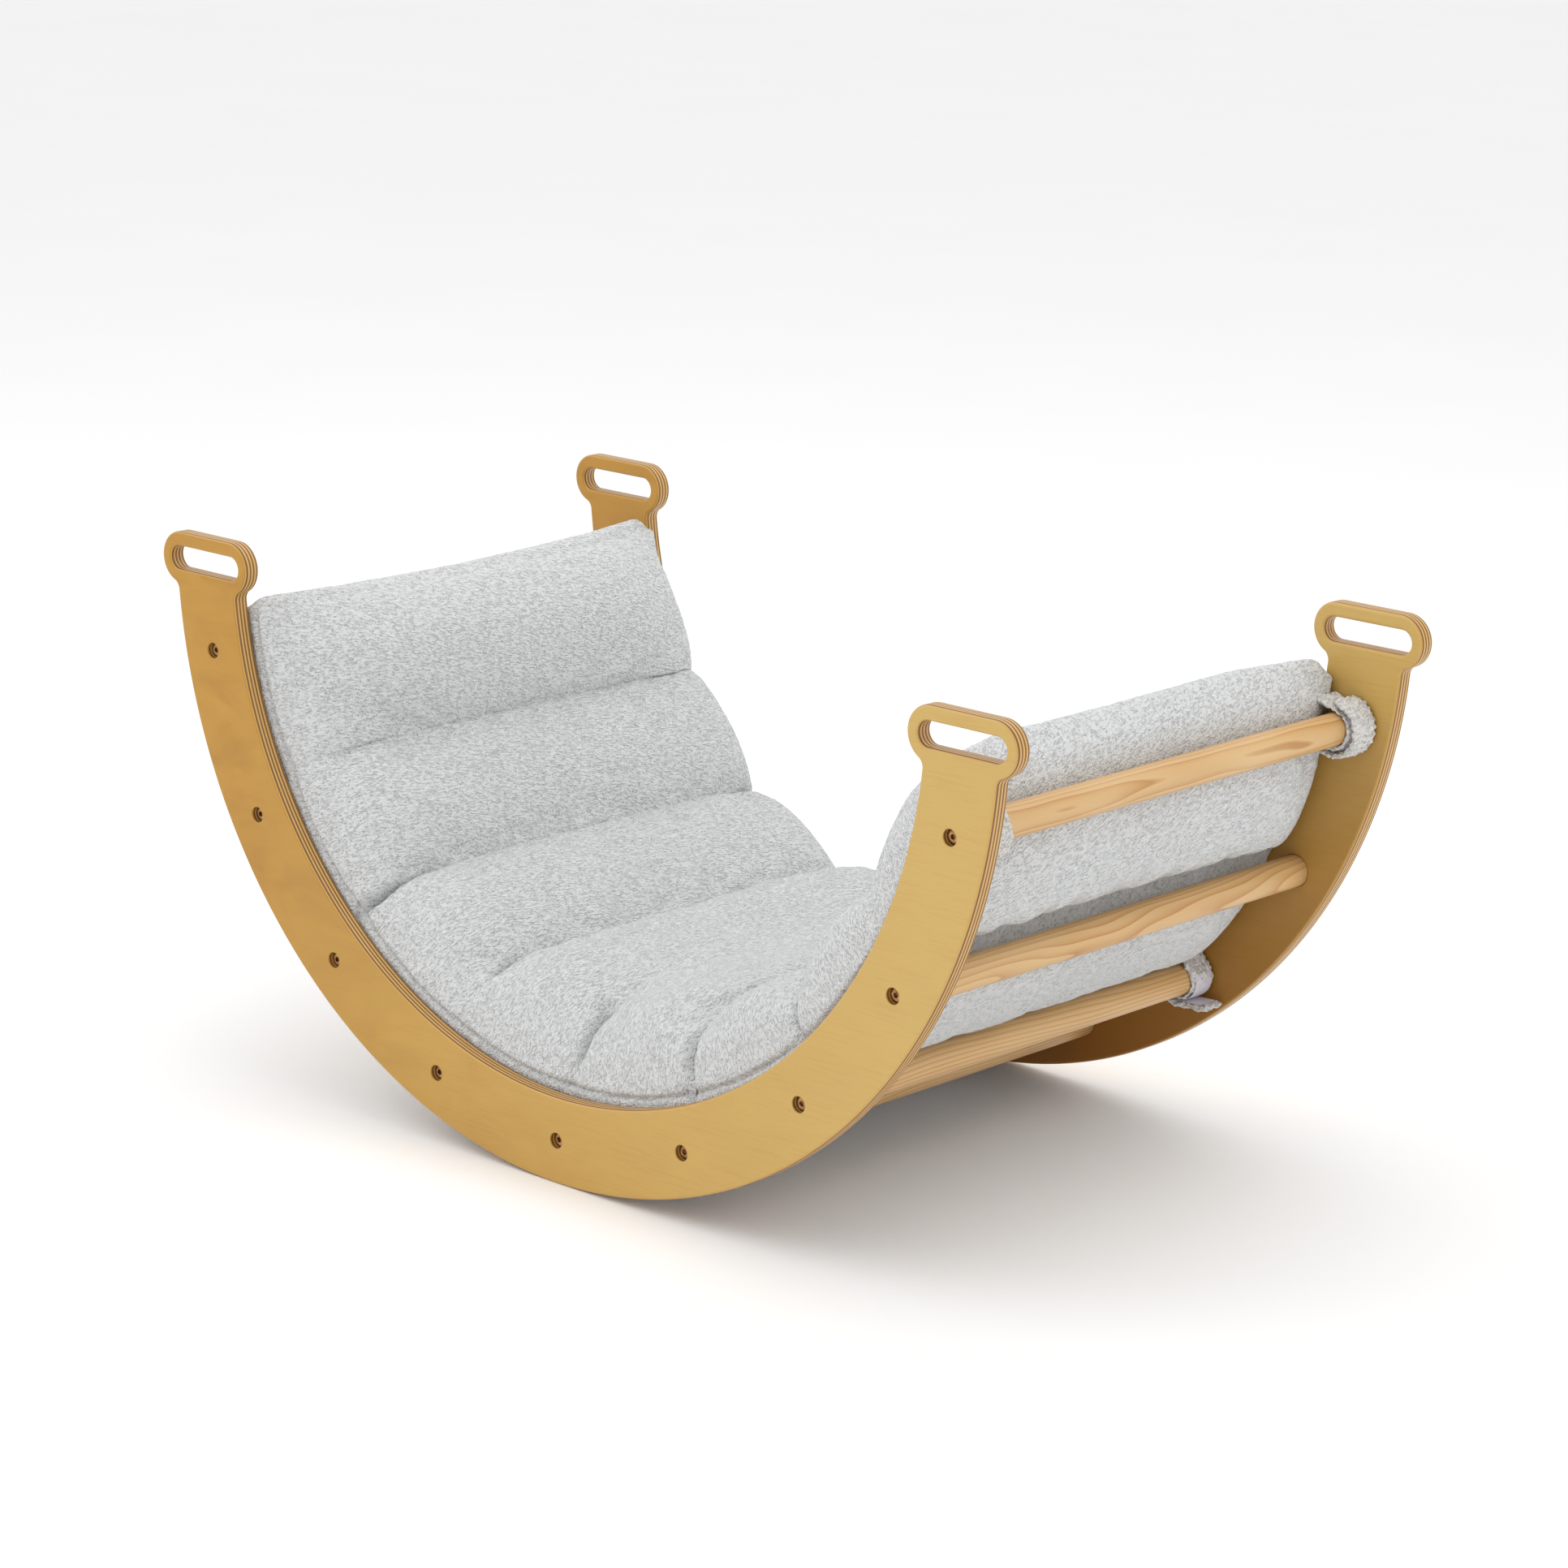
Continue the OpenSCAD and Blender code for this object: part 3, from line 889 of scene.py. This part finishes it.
def clear_of_frame(points, margin):
    """Moves points out of the rungs and side panels."""
    points = points.copy()
    for place in rung_places:
        centre = on_arch(place * rung_step, rung_line_r)
        away = points[:, [0, 2]] - centre
        dist = np.linalg.norm(away, axis=1)
        inside = dist < rung_r + margin
        points[inside, 0] = centre[0] + away[inside, 0] / dist[inside] * (rung_r + margin)
        points[inside, 2] = centre[1] + away[inside, 1] / dist[inside] * (rung_r + margin)
    limit = half_width - ply_t - margin
    points[:, 1] = np.clip(points[:, 1], -limit, limit)
    return points


def welted(points):
    """Rolls the seat's side edges out and draws in the seam just below the roll."""
    points = points.copy()
    r = np.hypot(points[:, 0], points[:, 2] - rocking_r)
    on_side = rising(np.abs(points[:, 1]), 0.262, 0.01)
    roll = 0.0020 * hump(r, welt_line_r - 0.003, 0.0035)
    seam = 0.0042 * hump(r, welt_line_r + 0.003, 0.0018)
    points[:, 1] += np.sign(points[:, 1]) * (roll - seam) * on_side
    return points


def looped(points, normals, height, seed):
    """Lifts the surface in small uneven loops of yarn, and in broader low lumps."""
    loops_per_metre = 280
    lumps_per_metre = 34
    lift = np.empty(len(points))
    for i, p in enumerate(points):
        fine = noise.noise(Vector(p) * loops_per_metre + Vector((seed, 0, 0)))
        broad = noise.noise(Vector(p) * lumps_per_metre + Vector((0, seed, 0)))
        lift[i] = height * (0.75 * fine + 0.45 * broad)
    return points + normals * lift[:, None]


def normals_of(mesh):
    flat = np.empty(len(mesh.vertices) * 3)
    mesh.vertices.foreach_get("normal", flat)
    return flat.reshape(-1, 3)


def boucle_finish(name, gap_shade_tone, yarn_tone, tip_highlight_tone):
    """Looped yarn in slanting rows, with painted shade in the gaps between the loops and rows, and a
    painted highlight on the loop tips.
    """
    made = Finish(name, Roughness=0.95, Sheen_Weight=0.25, Sheen_Roughness=0.6)
    spot = made.place()
    up = rocking_r - made.axis(spot, "Z")
    out = made.axis(spot, "X")
    around = made.node("ShaderNodeMath", {"operation": "ARCTAN2"}, {0: out, 1: up})
    along = around * seat_length_r
    across = made.axis(spot, "Y")
    from_centre = (out**2.0 + up**2.0) ** 0.5
    row_turn = math.radians(16)
    with_row = across * math.cos(row_turn) + along * math.sin(row_turn)
    past_row = along * math.cos(row_turn) - across * math.sin(row_turn)
    row_spot = {0: with_row * 180.0, 1: past_row * 540.0, 2: from_centre * 260.0}
    yarn_spot = made.node("ShaderNodeCombineXYZ", {}, row_spot)
    yarn = made.cloud(yarn_spot, 1.0, 2.0, 0.55, 0.6)
    dashes = made.ramp(yarn, [(0.48, none), (0.66, full)])
    loop_sockets = {"Vector": spot, "Scale": 600.0}
    loop_gap = made.node("ShaderNodeTexVoronoi", {"feature": "F1"}, loop_sockets)
    pile = 1.0 - dashes * 0.44 - loop_gap * 0.55
    # Painted shade and highlight: the pile's gaps take the dark gap tone, and the loop tips take the
    # pale tip tone.
    colour = made.ramp(pile, [(0.1, gap_shade_tone), (0.5, yarn_tone), (0.85, tip_highlight_tone)])
    patchy = made.cloud(spot, 22.0, 3.0)
    made.gloss("Base Color", made.blended(colour, tint(208, 204, 198), patchy * 0.2))
    made.gloss("Normal", made.raised(pile, 0.0028, 0.9))
    return made


# The gap tone is painted shade and the tip tone is a painted highlight.
boucle = boucle_finish(
    "looped_boucle",
    gap_shade_tone=tint(176, 174, 170),
    yarn_tone=tint(216, 218, 219),
    tip_highlight_tone=tint(234, 237, 238),
)

verts, faces, held, stitched = cushion_shape()
cushion = new_piece("channelled_cushion", verts, faces)
facing_out(cushion)
crease_seams(cushion.data, stitched)
sewn = points_of(cushion.data)
from_side = half_cushion_w - np.abs(sewn[:, 1])
angles = np.arctan2(sewn[:, 0], rocking_r - sewn[:, 2])
from_end = (channel_count / 2 * seam_step - np.abs(angles)) * seat_length_r
free_of_welt = np.minimum(rising(from_side, 0, 0.035), rising(from_end, 0, 0.04))
swell_fabric(cushion, held, 0.25 + 0.75 * free_of_welt, pressure=3.0, furthest=0.009)
set_points(cushion.data, clear_of_frame(points_of(cushion.data), margin=0.0008))
subdivided(cushion)
set_points(cushion.data, welted(points_of(cushion.data)))
with_loops = looped(points_of(cushion.data), normals_of(cushion.data), height=0.0009, seed=3.0)
set_points(cushion.data, with_loops)
set_points(cushion.data, clear_of_frame(points_of(cushion.data), margin=0.0003))
smoothed(cushion)
cushion.data.materials.clear()
cushion.data.materials.append(boucle.material)
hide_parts("cushion_cover", *[f"fill_pad_{i}" for i in range(1, channel_count + 1)])
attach(cushion, "rocker")


# ---- Ties ---------------------------------------------------------------
# Two layers of boucle strap hold the cushion to a rung. The under strap wraps the
# rung and carries loop tape; the flap closes over it with hook tape.

strap_w = 0.034
strap_t = 0.004
flap_t = 0.0058
pile_h = 0.0032
tape_w = 0.025
tape_t = 0.0012
wrap_gap = 0.0004
panel_gap = 0.0015
# Distance from the rung's axis to the middle of each layer
under_line = rung_r + wrap_gap + strap_t / 2
loop_line = under_line + strap_t / 2 + tape_t / 2
hook_line = loop_line + tape_t + wrap_gap
over_line = hook_line + tape_t / 2 + flap_t / 2
strap_y = half_width - ply_t - panel_gap - strap_w / 2
# Rung place and panel of each tie: -1 is at the front panel, 1 at the rear one
ties = [(place, end) for place in (4, 2, -2, -4) for end in (-1, 1)]
loose_tie = (2, 1)


def bend_line(r, start, stop, before=0.0, after=0.0, flare=0.0):
    """A strap's middle line about a rung: straight, bent from angle to angle, straight."""
    step = 0.0022
    line = []
    if before > 0:
        a = math.radians(start)
        for d in np.linspace(before, 0, max(int(before / step), 2), endpoint=False):
            line.append((r * math.cos(a) + d * math.sin(a), r * math.sin(a) - d * math.cos(a)))
    turns = max(int(math.radians(stop - start) * r / step), 6)
    for i in range(turns + 1):
        t = i / turns
        a = math.radians(start + (stop - start) * t)
        reach = r + flare * max(0.0, (t - 0.7) / 0.3) ** 2
        line.append((reach * math.cos(a), reach * math.sin(a)))
    if after > 0:
        a = math.radians(stop)
        for d in np.linspace(0, after, max(int(after / step), 2) + 1)[1:]:
            line.append((r * math.cos(a) - d * math.sin(a), r * math.sin(a) + d * math.cos(a)))
    return line


def in_tie_frame(place, line):
    """Points about the rung, X out of the arch and Y up the arm, placed in X and Z."""
    a = place * rung_step
    centre = on_arch(a, rung_line_r)
    out = np.array([math.sin(a), -math.cos(a)])
    up = np.array([math.cos(a), math.sin(a)]) * (1 if place > 0 else -1)
    return [centre + p[0] * out + p[1] * up for p in line]


def ribbon(line, middle_y, width, thick, across_steps, verts, faces):
    """Adds a closed band with round edges along a line in X and Z."""
    line = [np.asarray(p, float) for p in line]
    section = []
    for i in range(across_steps + 1):
        t = -1 + 2 * i / across_steps
        section.append((t, (1 - abs(t) ** 6) ** 0.5))
    section += [(t, -n) for t, n in section[-2:0:-1]]
    count = len(section)
    start = len(verts)
    for i, p in enumerate(line):
        ahead = line[min(i + 1, len(line) - 1)] - line[max(i - 1, 0)]
        ahead = ahead / np.linalg.norm(ahead)
        side = np.array([ahead[1], -ahead[0]])
        from_end = min(i, len(line) - 1 - i)
        fullness = (0.35, 0.85, 1.0)[min(from_end, 2)]
        for t, n in section:
            q = p + side * n * thick / 2 * fullness
            verts.append((q[0], middle_y + t * width / 2, q[1]))
    for i in range(len(line) - 1):
        for k in range(count):
            n = (k + 1) % count
            low, high = start + i * count, start + (i + 1) * count
            faces.append((low + k, low + n, high + n, high + k))
    faces.append(tuple(start + k for k in range(count)))
    last = start + (len(line) - 1) * count
    faces.append(tuple(last + k for k in reversed(range(count))))


# The gap tone is painted shade and the tip tone is a painted highlight.
strap_boucle = boucle_finish(
    "strap_boucle",
    gap_shade_tone=tint(186, 184, 180),
    yarn_tone=tint(222, 220, 216),
    tip_highlight_tone=tint(240, 238, 235),
)


def fabric_strap(name, line, middle_y, thick, seed):
    """One layer of boucle strap along a line, with its looped pile."""
    verts, faces = [], []
    ribbon(line, middle_y, strap_w, thick, 14, verts, faces)
    strap = new_piece(name, verts, faces)
    facing_out(strap)
    subdivided(strap)
    with_loops = looped(points_of(strap.data), normals_of(strap.data), pile_h, seed)
    set_points(strap.data, with_loops)
    smoothed(strap)
    strap.data.materials.clear()
    strap.data.materials.append(strap_boucle.material)
    return strap


tape = Finish("woven_tape", Roughness=0.55, Sheen_Weight=0.2)
spot = tape.place()
ribs_per_metre = 1400.0
ribs = abs(((tape.axis(spot, "Y") * ribs_per_metre) % 1.0) - 0.5) * 2.0
fuzz = tape.cloud(spot, 900.0, 3.0)
worn_share = fuzz * 0.6 + ribs * 0.2
tape.gloss("Base Color", tape.blended(tint(224, 221, 232), tint(203, 199, 212), worn_share))
tape.gloss("Normal", tape.raised(ribs * 0.4 + fuzz, 0.0004, 0.6))


def tape_piece(name, lines):
    """One mesh of tape, with a strip along each line."""
    verts, faces = [], []
    for line, middle_y in lines:
        ribbon(line, middle_y, tape_w, tape_t, 8, verts, faces)
    piece = new_piece(name, verts, faces)
    facing_out(piece)
    smoothed(piece, sharp_over=50)
    piece.data.materials.append(tape.material)
    return piece


loop_lines = []
for number, (place, end) in enumerate(ties, start=1):
    middle_y = end * strap_y
    top_turn, top_tail = (82, 0.030) if abs(place) == 4 else (90, 0.018)
    under_points = in_tie_frame(place, bend_line(under_line, -90, top_turn, 0.016, top_tail))
    under = fabric_strap(f"tie_under_{number}", under_points, middle_y, strap_t, number)
    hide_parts(f"under_strap_{number}")
    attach(under, "rocker")
    loop_lines.append((in_tie_frame(place, bend_line(loop_line, -70, 74)), middle_y))

    if (place, end) == loose_tie:
        over_points = bend_line(over_line, -90, -36, 0.019, 0.033)
        hook_points = bend_line(hook_line, -70, -36, 0.0, 0.026)
    else:
        over_points = bend_line(over_line, -90, 100, 0.019, flare=0.0015)
        hook_points = bend_line(hook_line, -70, 62)
    over_points = in_tie_frame(place, over_points)
    over = fabric_strap(f"tie_flap_{number}", over_points, middle_y, flap_t, number + 20)
    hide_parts(f"over_strap_{number}")
    fold_in, fold_out = in_tie_frame(place, [(-0.018, -over_line), (-0.010, -over_line)])
    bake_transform(over)
    hooks = tape_piece(f"tie_hooks_{number}", [(in_tie_frame(place, hook_points), middle_y)])
    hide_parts(f"hook_tape_{number}")
    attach(hooks, f"flap_{number}")

loops = tape_piece("tie_loops", loop_lines)
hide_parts("loop_tapes")
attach(loops, "rocker")
